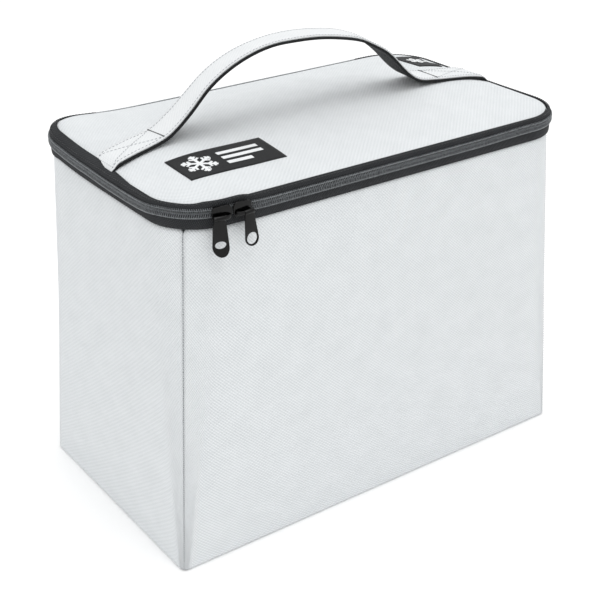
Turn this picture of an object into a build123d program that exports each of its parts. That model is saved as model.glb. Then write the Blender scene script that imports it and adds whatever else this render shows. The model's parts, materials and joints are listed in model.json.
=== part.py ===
from build123d import *
import math
import os

# Insulated cooler bag: a padded box of woven polyester with a zipped lid and a sewn carrying handle.
# Millimetres. The origin is the centre of the base on the surface it stands on. +Z is up,
# X runs along the bag and -Y is the front.

# Overall sizes
bag_width = 350.0
bag_depth = 194.0
body_height = 250.0
zip_band_height = 16.0
# The ends lean in towards the rim by this much each
end_lean = 8.0
rim_corner_radius = 36.0
base_corner_radius = 5.0

# Wall layers
fabric_thickness = 0.6
foam_thickness = 5.0
liner_thickness = 0.4
least_corner_radius = 1.0

# Binding tape over the raw edges inside the mouth and inside the lid
binding_thickness = 1.2
binding_drop = 8.0
lid_binding_width = 3.7

# Zip
tape_thickness = 0.8
tape_bulge = 1.2
lower_tape_rise = 5.5
coil_height = 2.4
coil_thickness = 2.2
coil_gap = 1.6
lid_edge_inset = 1.5
zip_end_past_corner = 12.0

# Crown of the lid: rise of the two upper outlines and their distance in from the lid's edge
crown_first_inset = 18.0
crown_first_rise = 3.0
crown_top_inset = 52.0
crown_top_rise = 6.6
crown_top_radius = 8.0

# Woven labels on the lid
label_thickness = 0.5
front_label_length = 72.5
front_label_width = 33.0
front_label_from_left = 66.0
front_label_gap = 19.0
side_label_length = 37.0
side_label_width = 24.0
side_label_from_right = 22.0
side_label_from_back = 47.0

# Handle strap: a cover strip on a webbing strip
strap_width = 28.0
strap_front_shift = 1.0
webbing_thickness = 1.5
cover_thickness = 1.1
strap_root_radius = 12.0
strap_cut_gap = 0.3
strap_cut_height = 14.5
# Corners of the underside of the arch, as distance along X and height over the lid's flat top
arch_corners = [
    (-95.0, 26.0),
    (-74.0, 41.0),
    (-40.0, 50.0),
    (-9.0, 52.5),
    (22.0, 49.5),
    (50.0, 38.5),
    (76.0, 22.5),
]

# Sliders and pull tabs
slider_clearance = 0.7
slider_length = 12.0
slider_nose_height = 9.4
slider_tail_height = 7.6
slider_corner_radius = 1.6
outer_plate_thickness = 1.0
inner_plate_thickness = 0.9
flange_thickness = 0.8
divider_length = 2.0
divider_height = 1.0
bridge_span = 8.4
bridge_leg = 1.2
bridge_width = 2.2
bridge_bar_radius = 0.7
bridge_bar_standoff = 2.9
pull_clearance = 0.3
pull_eye_wall = 0.8
pull_eye_length = 4.4
pull_thickness = 1.2
pull_neck_length = 3.0
pull_shoulder_width = 8.6
pull_end_width = 10.6
pull_end_drop = 22.4
pull_hole_radius = 3.5
right_slider_from_corner = 6.0
left_slider_angle = 15.0
left_pull_lean = -6.0
right_pull_lean = 10.0

# Clearance between pieces of different bodies that lie beside each other
body_clearance = 0.3

# Share of a run of the arch that the bend at its end may take up
bend_share = 0.45

# How far cutting solids run past what they cut
beyond = 30.0
far_beyond = 100.0

# Sizes that follow from the ones above
rim_width = bag_width - 2 * end_lean
half_width = bag_width / 2
half_rim_width = rim_width / 2
half_depth = bag_depth / 2
wall_thickness = fabric_thickness + foam_thickness + liner_thickness
coil_bottom = body_height + lower_tape_rise
chain_height = 2 * coil_height + coil_gap
chain_middle = coil_bottom + chain_height / 2
coil_top = coil_bottom + chain_height
lid_edge_height = body_height + zip_band_height
lid_panel_inset = lid_edge_inset + tape_thickness
lid_top_height = lid_edge_height + crown_top_rise
corner_x = half_rim_width - rim_corner_radius
corner_y = half_depth - rim_corner_radius
zip_end_x = corner_x - zip_end_past_corner
hinge_y = half_depth + tape_bulge + coil_thickness + slider_clearance


def plan_outline(width, inset, corner_radius, height):
    """Rounded rectangle at a height, set in from a plan of a given width and the bag's depth."""
    radius = max(corner_radius, least_corner_radius)
    return Pos(0, 0, height) * RectangleRounded(width - 2 * inset, bag_depth - 2 * inset, radius)


def rim_outline(inset, height):
    """Outline at a height that keeps an inset from the rim all the way round."""
    return plan_outline(rim_width, inset, rim_corner_radius - inset, height)


def block(x0, x1, y0, y1, z0, z1):
    """Box between two corners."""
    middle = Pos((x0 + x1) / 2, (y0 + y1) / 2, (z0 + z1) / 2)
    return middle * Box(x1 - x0, y1 - y0, z1 - z0)


def slab(z0, z1):
    """Everything between two heights."""
    return block(-bag_width, bag_width, -bag_depth, bag_depth, z0, z1)


def wall_form(inset):
    """Solid inside the tapering wall surface that lies an inset in from the outside."""
    bottom = plan_outline(bag_width, inset, base_corner_radius - inset, 0)
    top = rim_outline(inset, body_height)
    return loft([bottom, top], ruled=True)


def arc_middle(width, radius):
    """Middle of the arc at the back-right corner of a plan of a given width."""
    cut = radius * (1 - math.sqrt(0.5))
    return width / 2 - cut, half_depth - cut


def wedge(side):
    """Part of the plan that belongs to one side, up to the corner seams."""
    base_x, base_y = arc_middle(bag_width, base_corner_radius)
    rim_x, rim_y = arc_middle(rim_width, rim_corner_radius)
    # Each seam lies in the upright plane through both arcs; inside the rim the cut is at 45 degrees
    end_x = base_x + beyond
    end_y = base_y + beyond * (base_y - rim_y) / (base_x - rim_x)
    ridge_x = rim_x - rim_y
    front = [(-end_x, -end_y), (end_x, -end_y), (rim_x, -rim_y), (ridge_x, 0), (-ridge_x, 0), (-rim_x, -rim_y)]
    right = [(end_x, -end_y), (end_x, end_y), (rim_x, rim_y), (ridge_x, 0), (rim_x, -rim_y)]
    corners = {
        "front": front,
        "back": [(-x, -y) for x, y in front],
        "left": [(-x, -y) for x, y in right],
        "right": right,
    }[side]
    face = make_face(Polyline(*corners, close=True))
    return extrude(face, body_height + beyond)


def body_layers():
    """Outer panels, foam walls, base pieces and the liner tub."""
    outside = wall_form(0)
    under_fabric = wall_form(fabric_thickness)
    under_foam = wall_form(fabric_thickness + foam_thickness)
    inside = wall_form(wall_thickness)
    above_base = slab(fabric_thickness, body_height)
    fabric_walls = (outside - under_fabric) & above_base
    foam_walls = (under_fabric - under_foam) & above_base
    floor_height = fabric_thickness + foam_thickness
    pieces = {}
    for side in ("front", "back", "left", "right"):
        pieces[f"{side}_panel"] = fabric_walls & wedge(side)
        pieces[f"{side}_foam"] = foam_walls & wedge(side)
    pieces["base_panel"] = outside & slab(0, fabric_thickness)
    pieces["base_foam"] = under_foam & slab(fabric_thickness, floor_height)
    tub = under_foam & slab(floor_height, body_height)
    pieces["liner_tub"] = tub - (inside & slab(wall_thickness, body_height))
    return pieces


def flat_ring(outer_inset, inner_inset, z0, z1):
    """Flat ring round the mouth between two insets and two heights."""
    outer = extrude(rim_outline(outer_inset, z0), z1 - z0)
    inner = extrude(rim_outline(inner_inset, z0), z1 - z0)
    return outer - inner


def rim_binding():
    """Tape folded over the raw top edge of the wall."""
    top_outer = tape_thickness + body_clearance
    inner = wall_thickness + binding_thickness
    cap = flat_ring(top_outer, inner, body_height, body_height + binding_thickness)
    drop = flat_ring(wall_thickness, inner, body_height - binding_drop, body_height)
    return cap + drop


def band_ring(profile):
    """Ring round the mouth whose outer face passes through (bulge, height) points, one tape thick."""
    outer = loft([rim_outline(-bulge, z) for bulge, z in profile], ruled=True)
    inner = loft([rim_outline(tape_thickness - bulge, z) for bulge, z in profile], ruled=True)
    return outer - inner


def back_gap(half_length):
    """Middle of the back, where the zip stops and the hinge fabric is."""
    top = lid_edge_height + beyond
    return block(-half_length, half_length, 0, half_depth + beyond, body_height - beyond, top)


def zip_pieces():
    """Lower and upper tape and coil, and the hinge gusset between the zip's ends."""
    upper_coil_bottom = coil_top - coil_height
    lower_coil_top = coil_bottom + coil_height
    gap = back_gap(zip_end_x)
    lower_tape = band_ring(
        [(0, body_height), (tape_bulge, coil_bottom), (tape_bulge, lower_coil_top)]
    )
    upper_tape = band_ring(
        [(tape_bulge, upper_coil_bottom), (tape_bulge, coil_top), (-lid_edge_inset, lid_edge_height)]
    )
    coil_outer = -tape_bulge - coil_thickness
    lower_coil = flat_ring(coil_outer, -tape_bulge, coil_bottom, lower_coil_top)
    upper_coil = flat_ring(coil_outer, -tape_bulge, upper_coil_bottom, coil_top)
    gusset = band_ring([(0, body_height), (-lid_edge_inset, lid_edge_height)])
    return {
        "lower_zip_tape": lower_tape - gap,
        "upper_zip_tape": upper_tape - gap,
        "lower_zip_coil": lower_coil - gap,
        "upper_zip_coil": upper_coil - gap,
        "hinge_gusset": gusset & back_gap(zip_end_x - body_clearance),
    }


def crown(lift):
    """Solid under the crowned surface of the lid, raised or lowered by a lift."""
    edge = lid_panel_inset
    first = edge + crown_first_inset
    top = edge + crown_top_inset
    outlines = [
        rim_outline(edge, lid_edge_height + lift),
        rim_outline(first, lid_edge_height + crown_first_rise + lift),
        plan_outline(rim_width, top, crown_top_radius, lid_edge_height + crown_top_rise + lift),
    ]
    cap = loft(outlines, ruled=True)
    rise = lid_edge_height + lift - body_height
    base = extrude(rim_outline(edge, body_height), rise)
    return base + cap


def lid_layers():
    """Outer fabric, foam and liner of the lid, with the tape that binds their edge."""
    surface = crown(0)
    under_fabric = crown(-fabric_thickness)
    under_foam = crown(-fabric_thickness - foam_thickness)
    underside = crown(-wall_thickness)
    edge_bottom = lid_edge_height - wall_thickness
    inner = lid_panel_inset + lid_binding_width
    return {
        "lid_panel": surface - under_fabric,
        "lid_foam": under_fabric - under_foam,
        "lid_liner": under_foam - underside,
        "lid_binding": flat_ring(lid_panel_inset, inner, edge_bottom - binding_thickness, edge_bottom),
    }


def label(x_size, y_size, x, y):
    """Thin woven patch that follows the lid's surface."""
    skin = crown(label_thickness) - crown(0)
    footprint = extrude(Pos(x, y, body_height) * Rectangle(x_size, y_size), beyond)
    return skin & footprint


def labels():
    front_x = front_label_from_left - half_rim_width
    strap_front = -strap_front_shift - strap_width / 2
    front_y = strap_front - front_label_gap - front_label_width / 2
    side_x = half_rim_width - side_label_from_right
    side_y = half_depth - side_label_from_back
    return {
        "front_label": label(front_label_length, front_label_width, front_x, front_y),
        "side_label": label(side_label_width, side_label_length, side_x, side_y),
    }


def strap_corners():
    """Corners of the strap's underside: sewn along the lid, up over the arch, and along the lid."""
    edge_x = half_rim_width - lid_panel_inset
    first = (edge_x - crown_first_inset, lid_edge_height + crown_first_rise)
    root = (edge_x - crown_top_inset, lid_top_height)
    left = [(-edge_x, lid_edge_height), (-first[0], first[1]), (-root[0], root[1])]
    arch = [(x, lid_top_height + rise) for x, rise in arch_corners]
    right = [root, first, (edge_x, lid_edge_height)]
    return [Vector(x, z) for x, z in left + arch + right]


def turn_at(corners, i):
    """Signed turn of a line of corners at one of them, in degrees, left turns positive."""
    before = corners[i] - corners[i - 1]
    after = corners[i + 1] - corners[i]
    size = before.get_angle(after)
    return size if before.cross(after).Z > 0 else -size


def strap_line(distance):
    """Line at a distance over the strap's underside, with each bend round the same centre."""
    corners = strap_corners()
    last = len(corners) - 1
    roots = (2, last - 2)
    lid_bends = (1, last - 1)
    points = []
    radii = []
    for i, corner in enumerate(corners):
        before = (corners[i] - corners[i - 1]).normalized() if i > 0 else None
        after = (corners[i + 1] - corners[i]).normalized() if i < last else None
        heading = ((before or after) + (after or before)).normalized()
        normal = Vector(-heading.Y, heading.X)
        if i in (0, last):
            points.append(corner + normal * distance)
            continue
        turn = turn_at(corners, i)
        half_turn = math.radians(abs(turn)) / 2
        points.append(corner + normal * (distance / math.cos(half_turn)))
        if i in lid_bends:
            radii.append(0)
            continue
        shorter_run = min((corner - corners[i - 1]).length, (corners[i + 1] - corner).length)
        radius = strap_root_radius if i in roots else bend_share * shorter_run / math.tan(half_turn)
        radii.append(radius - distance if turn > 0 else radius + distance)
    return FilletPolyline(*points, radius=radii)


def strap_strip(bottom, top):
    """One strip of the strap between two distances over its underside."""
    low = strap_line(bottom)
    high = strap_line(top)
    face = make_face([low, high, Line(low @ 0, high @ 0), Line(low @ 1, high @ 1)])
    standing = Plane.XZ * face
    middle_y = -strap_front_shift
    strip = extrude(standing, strap_width / 2, both=True)
    return Pos(0, middle_y, 0) * strip


def arch_cut_x(corner, root_x):
    """Where the arch's leg, from the root up to its first corner, reaches the cut height."""
    share = strap_cut_height / corner[1]
    return root_x + share * (corner[0] - root_x)


def handle_pieces():
    """Free arch of the handle, and the ends that stay with the lid, as two strips each."""
    root_x = half_rim_width - lid_panel_inset - crown_top_inset
    left_cut = arch_cut_x(arch_corners[0], -root_x)
    right_cut = arch_cut_x(arch_corners[-1], root_x)
    top = lid_top_height + far_beyond
    arch_space = block(left_cut, right_cut, -bag_depth, bag_depth, body_height, top)
    ends_gap = block(
        left_cut - strap_cut_gap, right_cut + strap_cut_gap, -bag_depth, bag_depth, body_height, top
    )
    webbing = strap_strip(0, webbing_thickness)
    cover = strap_strip(webbing_thickness, webbing_thickness + cover_thickness)
    return {
        "handle_webbing": webbing & arch_space,
        "handle_cover": cover & arch_space,
        "handle_webbing_ends": webbing - ends_gap,
        "handle_cover_ends": cover - ends_gap,
    }


# A slider is drawn with X along the chain, -Y outwards from the wall and Z = 0 at the middle of
# the chain. Its nose, where the two coils part, is at +X.
inner_plate_face = tape_bulge - tape_thickness - slider_clearance
outer_plate_face = tape_bulge + coil_thickness + slider_clearance
outer_plate_front = outer_plate_face + outer_plate_thickness
bar_distance = outer_plate_front + bridge_bar_standoff


def outwards(outline, start, end):
    """Extrude an X-Z outline between two distances out from the wall."""
    face = Plane.XZ.offset(start) * outline
    return extrude(face, end - start)


def slider():
    half_length = slider_length / 2
    nose = slider_nose_height / 2
    tail = slider_tail_height / 2
    shield = make_face(
        Polyline(
            (-half_length, -tail), (half_length, -nose), (half_length, nose), (-half_length, tail),
            close=True,
        )
    )
    shield = fillet(shield.vertices(), slider_corner_radius)
    outer_plate = outwards(shield, outer_plate_face, outer_plate_front)
    inner_half = chain_height / 2
    inner_bottom = -inner_half - body_clearance
    inner_plate = block(
        -half_length + slider_corner_radius, half_length - slider_corner_radius,
        -inner_plate_face, -inner_plate_face + inner_plate_thickness,
        inner_bottom, inner_half,
    )
    flange_top = -inner_half - body_clearance
    flange = block(
        -half_length + slider_corner_radius, half_length - slider_corner_radius,
        -outer_plate_face, -tape_bulge - slider_clearance,
        flange_top - flange_thickness, flange_top,
    )
    divider_end = half_length - slider_corner_radius
    divider = block(
        divider_end - divider_length, divider_end,
        -outer_plate_face, -inner_plate_face,
        -divider_height / 2, divider_height / 2,
    )
    half_span = bridge_span / 2
    bridge_top = bar_distance + bridge_bar_radius
    legs = [
        block(x0, x0 + bridge_leg, -bridge_top, -outer_plate_front, -bridge_width / 2, bridge_width / 2)
        for x0 in (-half_span, half_span - bridge_leg)
    ]
    bar = Pos(0, -bar_distance, 0) * Rot(0, 90, 0) * Cylinder(bridge_bar_radius, bridge_span - bridge_leg)
    return outer_plate + inner_plate + flange + divider + legs + bar


def pull_tab(lean):
    """Flat tab with an eye round the bridge bar, leaning along the chain by an angle."""
    eye_inner = bridge_bar_radius + pull_clearance
    eye_outer = eye_inner + pull_eye_wall
    along_x = Pos(0, -bar_distance, 0) * Rot(0, 90, 0)
    eye = along_x * (Cylinder(eye_outer, pull_eye_length) - Cylinder(eye_inner, pull_eye_length))
    neck = pull_eye_length / 2
    shoulder = pull_shoulder_width / 2
    end = pull_end_width / 2
    shoulder_drop = eye_outer + pull_neck_length
    outline = make_face(
        Polyline(
            (-neck, -eye_inner), (neck, -eye_inner), (neck, -eye_outer - pull_neck_length / 3),
            (shoulder, -shoulder_drop), (end, -pull_end_drop), (-end, -pull_end_drop),
            (-shoulder, -shoulder_drop), (-neck, -eye_outer - pull_neck_length / 3),
            close=True,
        )
    )
    outline += Pos(0, -pull_end_drop) * Circle(end)
    outline -= Pos(0, -pull_end_drop) * Circle(pull_hole_radius)
    flat = Rot(0, 0, lean) * outline
    plate = outwards(flat, bar_distance - pull_thickness / 2, bar_distance + pull_thickness / 2)
    bore = along_x * Cylinder(eye_inner, pull_shoulder_width)
    return eye + (plate - bore)


def on_front(shape, x):
    """Put a slider piece on the straight front run of the zip."""
    return Pos(x, -half_depth, chain_middle) * shape


def on_left_corner(shape, angle):
    """Put a slider piece on the front-left corner, an angle round from the end of the straight."""
    start = Pos(0, -rim_corner_radius, 0) * shape
    return Pos(-corner_x, -corner_y, chain_middle) * Rot(0, 0, -angle) * start


def slider_pieces():
    right_x = -corner_x + right_slider_from_corner
    return {
        "left_slider": on_left_corner(slider(), left_slider_angle),
        "left_pull": on_left_corner(pull_tab(left_pull_lean), left_slider_angle),
        "right_slider": on_front(mirror(slider(), about=Plane.YZ), right_x),
        "right_pull": on_front(pull_tab(right_pull_lean), right_x),
    }


pieces = {}
pieces.update(body_layers())
pieces["rim_binding"] = rim_binding()
pieces.update(zip_pieces())
pieces.update(lid_layers())
pieces.update(labels())
pieces.update(handle_pieces())
pieces.update(slider_pieces())

os.makedirs("parts", exist_ok=True)
for name, shape in pieces.items():
    export_step(shape, f"parts/{name}.step")
    print(f"{name}: {len(shape.solids())} solid(s), {shape.volume:.0f} mm3")

print(f"lid hinge axis along X at y {hinge_y:.2f}, z {chain_middle:.2f}")
print(f"chain middle at z {chain_middle:.2f}, corner centre at {corner_x:.2f}, {corner_y:.2f}")
print(f"bridge bar {bar_distance:.2f} out from the wall, lid flat top at z {lid_top_height:.2f}")
print(f"zip ends on the back at x {zip_end_x:.2f}")
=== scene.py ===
import json
import math

import bmesh
import bpy
from mathutils import Matrix, Vector, noise
from mathutils.bvhtree import BVHTree


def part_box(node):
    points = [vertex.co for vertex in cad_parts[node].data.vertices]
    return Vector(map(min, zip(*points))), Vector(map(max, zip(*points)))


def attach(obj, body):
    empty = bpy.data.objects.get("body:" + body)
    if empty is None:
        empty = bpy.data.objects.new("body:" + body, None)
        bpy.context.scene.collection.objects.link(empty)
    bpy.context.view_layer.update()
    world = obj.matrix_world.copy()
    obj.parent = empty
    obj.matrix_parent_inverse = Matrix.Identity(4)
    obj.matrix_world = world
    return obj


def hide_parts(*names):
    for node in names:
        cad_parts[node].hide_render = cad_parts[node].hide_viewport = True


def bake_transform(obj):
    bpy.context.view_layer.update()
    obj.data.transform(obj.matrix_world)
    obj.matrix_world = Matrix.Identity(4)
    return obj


# Insulated cooler bag. Everything is in metres in the part's own frame: +Z up, -Y the front.
mm = 0.001
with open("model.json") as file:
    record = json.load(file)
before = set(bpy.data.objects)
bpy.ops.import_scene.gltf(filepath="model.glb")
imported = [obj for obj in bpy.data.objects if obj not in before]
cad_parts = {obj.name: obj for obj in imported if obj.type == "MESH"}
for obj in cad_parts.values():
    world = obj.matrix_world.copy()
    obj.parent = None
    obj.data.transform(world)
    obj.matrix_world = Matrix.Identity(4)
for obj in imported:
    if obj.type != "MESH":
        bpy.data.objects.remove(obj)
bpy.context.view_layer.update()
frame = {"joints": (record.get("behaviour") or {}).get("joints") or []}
scene = bpy.context.scene
scene.view_settings.view_transform = "Standard"


def toLinear(code):
    parts = [int(code[i : i + 2], 16) / 255 for i in (1, 3, 5)]
    return tuple(c / 12.92 if c <= 0.04045 else ((c + 0.055) / 1.055) ** 2.4 for c in parts) + (1.0,)


def addNode(tree, kind, settings=None, inputs=None, links=None):
    node = tree.nodes.new(kind)
    for key, value in (settings or {}).items():
        setattr(node, key, value)
    for key, value in (inputs or {}).items():
        node.inputs[key].default_value = value
    for key, source in (links or {}).items():
        tree.links.new(source, node.inputs[key])
    return node


def newMaterial(name, colour, roughness, **sockets):
    material = bpy.data.materials.new(name)
    material.use_nodes = True
    material.diffuse_color = toLinear(colour)
    tree = material.node_tree
    shader = tree.nodes["Principled BSDF"]
    shader.inputs["Base Color"].default_value = toLinear(colour)
    shader.inputs["Roughness"].default_value = roughness
    for key, value in sockets.items():
        shader.inputs[key.replace("_", " ")].default_value = value
    return material, tree, shader


def stripes(tree, vector, direction, pitch):
    # -1 to 1 across straight threads that lie side by side at a pitch, square to a direction
    turns = Vector(direction).normalized() * (2 * math.pi / pitch)
    along = addNode(tree, "ShaderNodeVectorMath", {"operation": "DOT_PRODUCT"}, {1: turns}, {0: vector})
    wave = addNode(tree, "ShaderNodeMath", {"operation": "SINE"}, None, {0: along.outputs["Value"]})
    return wave.outputs[0]


def clothVector(tree):
    return addNode(tree, "ShaderNodeUVMap", {"uv_map": "cloth"}).outputs["UV"]


def objectVector(tree):
    return addNode(tree, "ShaderNodeTexCoord").outputs["Object"]


def noiseAt(tree, vector, scale, detail=3.0):
    made = addNode(tree, "ShaderNodeTexNoise", None, {"Scale": scale, "Detail": detail}, {"Vector": vector})
    return made.outputs["Fac"]


def ramp(tree, value, low, high, darker, lighter):
    mapped = addNode(
        tree, "ShaderNodeMapRange", None, {"From Min": low, "From Max": high}, {"Value": value}
    )
    mix = addNode(tree, "ShaderNodeMix", {"data_type": "RGBA"}, None, {"Factor": mapped.outputs[0]})
    mix.inputs["A"].default_value = toLinear(darker)
    mix.inputs["B"].default_value = toLinear(lighter)
    return mix.outputs["Result"]


def bumpFrom(tree, shader, height, distance, strength=1.0):
    bump = addNode(
        tree, "ShaderNodeBump", None, {"Distance": distance, "Strength": strength}, {"Height": height}
    )
    tree.links.new(bump.outputs["Normal"], shader.inputs["Normal"])


def combine(tree, operation, a, b):
    node = tree.nodes.new("ShaderNodeMath")
    node.operation = operation
    for i, value in enumerate((a, b)):
        if isinstance(value, (int, float)):
            node.inputs[i].default_value = value
        else:
            tree.links.new(value, node.inputs[i])
    return node.outputs[0]


def wovenCloth(
    name, darker, lighter, roughness, direction, pitch, depth, crossPitch, sheen=0.1, shine=0.5
):
    # a rib of threads in one direction, broken along its length where the threads cross
    material, tree, shader = newMaterial(
        name, lighter, roughness, Sheen_Weight=sheen, Sheen_Roughness=0.5, Specular_IOR_Level=shine
    )
    vector = clothVector(tree)
    rib = stripes(tree, vector, direction, pitch)
    across = (direction[1], -direction[0], 0)
    broken = stripes(tree, vector, across, crossPitch)
    rib = combine(tree, "ADD", combine(tree, "MULTIPLY", broken, 0.45), rib)
    cloud = noiseAt(tree, vector, 60.0)
    shade = combine(tree, "MULTIPLY", cloud, 1.6)
    height = combine(tree, "ADD", rib, shade)
    tree.links.new(ramp(tree, height, -0.6, 2.0, darker, lighter), shader.inputs["Base Color"])
    bumpFrom(tree, shader, height, depth)
    return material


print("materials")
# 600-denier polyester twill: a matt white face with a fine diagonal rib. The real rib is about
# 1.3 mm; it is drawn at 1.5 mm so that it shows
whitePolyester = wovenCloth(
    "white_polyester_twill", "#C8CCCE", "#DEE1E3", 0.8, (1, 1, 0), 1.5 * mm, 0.1 * mm, 2.2 * mm, 0.1
)
# The handle's cover: the same cloth, a shade lighter, with a softer rib
coverPolyester = wovenCloth(
    "handle_cover_polyester", "#D0D3D5", "#E2E4E5", 0.8, (1, 1, 0), 1.5 * mm, 0.07 * mm, 2.2 * mm, 0.1
)
# Nylon zip tape: dull near-black with a herringbone rib along it, drawn at 1.1 mm, coarser than
# the real 0.7 mm
zipTape = wovenCloth(
    "nylon_zip_tape", "#0D0E0F", "#36383B", 0.7, (1, 0.5, 0), 1.1 * mm, 0.15 * mm, 1.3 * mm, 0.0, 0.2
)
# Polypropylene webbing: black with thick ribs across it that catch the light
blackWebbing = wovenCloth(
    "polypropylene_webbing", "#070808", "#26282A", 0.6, (0, 1, 0), 1.8 * mm, 0.25 * mm, 2.2 * mm, 0.0, 0.25
)
# Damask label: satin black with a very fine rib
blackDamask = wovenCloth(
    "black_damask_label", "#0B0C0D", "#1E2022", 0.6, (0, 1, 0), 1.0 * mm, 0.05 * mm, 1.4 * mm, 0.0, 0.25
)
# White satin threads of the label's motif
whiteDamask = wovenCloth(
    "white_damask_threads", "#CFD3D5", "#F4F5F6", 0.5, (0, 1, 0), 1.0 * mm, 0.05 * mm, 1.4 * mm, 0.2
)
# Binding tape inside the mouth: soft black polyester with ribs across it
bindingTape = wovenCloth(
    "polyester_binding_tape", "#121314", "#2C2E31", 0.7, (1, 0, 0), 1.6 * mm, 0.12 * mm, 2.0 * mm, 0.0, 0.25
)


def makeNylon(name, darker, lighter):
    # Nylon monofilament: smooth and dark grey with a soft shine along each loop
    material, tree, shader = newMaterial(name, lighter, 0.32, Specular_IOR_Level=0.7)
    vector = objectVector(tree)
    cloud = noiseAt(tree, vector, 900.0)
    tree.links.new(ramp(tree, cloud, 0.35, 0.65, darker, lighter), shader.inputs["Base Color"])
    return material


def makeThread(name, darker, lighter):
    # Spun polyester sewing thread: dull, two plies twisted together
    material, tree, shader = newMaterial(name, lighter, 0.75, Sheen_Weight=0.2)
    vector = objectVector(tree)
    twist = stripes(tree, vector, (1, 1, 1), 0.5 * mm)
    tree.links.new(ramp(tree, twist, -1, 1, darker, lighter), shader.inputs["Base Color"])
    bumpFrom(tree, shader, twist, 0.05 * mm)
    return material


def makeBlackEnamel():
    # Black enamel on cast zinc: glossy, with a slight orange-peel, rubbed a little thinner in patches
    material, tree, shader = newMaterial(
        "black_enamelled_zinc", "#020202", 0.15, Specular_IOR_Level=0.25
    )
    vector = objectVector(tree)
    patch = noiseAt(tree, vector, 500.0, 4.0)
    tree.links.new(ramp(tree, patch, 0.35, 0.75, "#010101", "#060606"), shader.inputs["Base Color"])
    rough = addNode(
        tree, "ShaderNodeMapRange", None, {"From Min": 0.3, "From Max": 0.7, "To Min": 0.1, "To Max": 0.22},
        {"Value": patch},
    )
    tree.links.new(rough.outputs[0], shader.inputs["Roughness"])
    bumpFrom(tree, shader, noiseAt(tree, vector, 1500.0, 1.0), 0.02 * mm)
    return material


def makeFoil():
    # Aluminised polyethylene liner: silvery grey and creased, welded, so it has no weave
    material, tree, shader = newMaterial("aluminised_liner", "#D4D7DA", 0.38, Metallic=0.6)
    vector = objectVector(tree)
    creases = addNode(
        tree, "ShaderNodeTexVoronoi", {"feature": "DISTANCE_TO_EDGE"}, {"Scale": 55.0}, {"Vector": vector}
    ).outputs["Distance"]
    cloud = noiseAt(tree, vector, 120.0, 5.0)
    height = combine(tree, "ADD", creases, cloud)
    tree.links.new(ramp(tree, cloud, 0.3, 0.7, "#C2C6CA", "#E0E2E4"), shader.inputs["Base Color"])
    bumpFrom(tree, shader, height, 0.6 * mm)
    return material


# The coil is dark grey nylon drawn a lighter grey than its own colour; the extra lightness is painted
# highlight on the teeth
coilNylonPaintedHighlight = makeNylon("nylon_zip_coil_painted_highlight", "#474A4D", "#6C7073")
# The cord is the same nylon in a lighter grey still; beyond its own grey, the lightness is painted highlight
# along the chain's edges
cordNylonPaintedHighlight = makeNylon("nylon_coil_cord_painted_highlight", "#4E5255", "#787C7F")
greyThread = makeThread("grey_polyester_thread", "#72777B", "#A2A7AB")
seamThread = makeThread("dark_grey_polyester_thread", "#6A6E72", "#8E9296")
blackThread = makeThread("black_polyester_thread", "#141517", "#2B2D30")
blackEnamel = makeBlackEnamel()
foilLiner = makeFoil()

plan = {
    "tapeBulge": 1.2 * mm,
    "rimRadius": 36 * mm,
    "baseRadius": 5 * mm,
    "zipEnd": 119 * mm,  # where the zip stops on the back, out from the middle
    "leastRadius": 1 * mm,
}
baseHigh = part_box("base_panel")[1]
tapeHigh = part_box("lower_zip_tape")[1]
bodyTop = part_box("front_panel")[1].z
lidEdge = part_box("upper_zip_tape")[1].z
halfBaseX, halfBaseY = baseHigh.x, baseHigh.y
halfRimX, halfRimY = tapeHigh.x - plan["tapeBulge"], tapeHigh.y - plan["tapeBulge"]
cornerX, cornerY = halfRimX - plan["rimRadius"], halfRimY - plan["rimRadius"]
chainMiddle = frame["joints"][0]["pos_m"][2]


def planPoint(u, halfX, halfY, radius):
    # u counts the sides and corners round a rounded rectangle: 0 is the front's left end, then the
    # front-right corner from 1, the right end from 2, and so on round to 8
    side = int(math.floor(u)) % 8
    t = u - math.floor(u)
    cx, cy = halfX - radius, halfY - radius
    if side == 0:
        return Vector((-cx + 2 * cx * t, -halfY)), Vector((0, -1))
    if side == 2:
        return Vector((halfX, -cy + 2 * cy * t)), Vector((1, 0))
    if side == 4:
        return Vector((cx - 2 * cx * t, halfY)), Vector((0, 1))
    if side == 6:
        return Vector((-halfX, cy - 2 * cy * t)), Vector((-1, 0))
    middle = {1: (cx, -cy), 3: (cx, cy), 5: (-cx, cy), 7: (-cx, -cy)}[side]
    angle = math.radians((side - 2) * 45 - 45 + 90 * t)
    out = Vector((math.cos(angle), math.sin(angle)))
    return Vector(middle) + out * radius, out


# the bag's back-left corner stands a little higher than the rest of the mouth
raised = {"x": -0.160, "y": 0.086, "reach": 0.038, "rise": 4.4 * mm, "from": 0.17, "over": 0.085}


def cornerRise(x, y, z):
    away = ((x - raised["x"]) ** 2 + (y - raised["y"]) ** 2) / raised["reach"] ** 2
    return raised["rise"] * math.exp(-away) * smooth((z - raised["from"]) / raised["over"])


def rimPoint(u, inset, z):
    radius = max(plan["rimRadius"] - inset, plan["leastRadius"])
    p, out = planPoint(u, halfRimX - inset, halfRimY - inset, radius)
    return Vector((p.x, p.y, z + cornerRise(p.x, p.y, z))), Vector((out.x, out.y, 0))


def wallPoint(u, inset, z):
    radius = max(plan["baseRadius"] - inset, plan["leastRadius"])
    low, lowOut = planPoint(u, halfBaseX - inset, halfBaseY - inset, radius)
    high, highOut = rimPoint(u, inset, bodyTop)
    share = z / bodyTop
    p = low.lerp(high.to_2d(), share)
    out = lowOut.lerp(highOut.to_2d(), share).normalized()
    return Vector((p.x, p.y, z + cornerRise(p.x, p.y, z))), Vector((out.x, out.y, 0))


rimArc = plan["rimRadius"] * math.pi / 2
rimRuns = [2 * cornerX, rimArc, 2 * cornerY, rimArc] * 2
rimLength = sum(rimRuns)
zipStart = -(2 * rimArc + 2 * cornerY + cornerX - plan["zipEnd"])
zipFinish = 2 * cornerX + 2 * rimArc + 2 * cornerY + cornerX - plan["zipEnd"]


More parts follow.
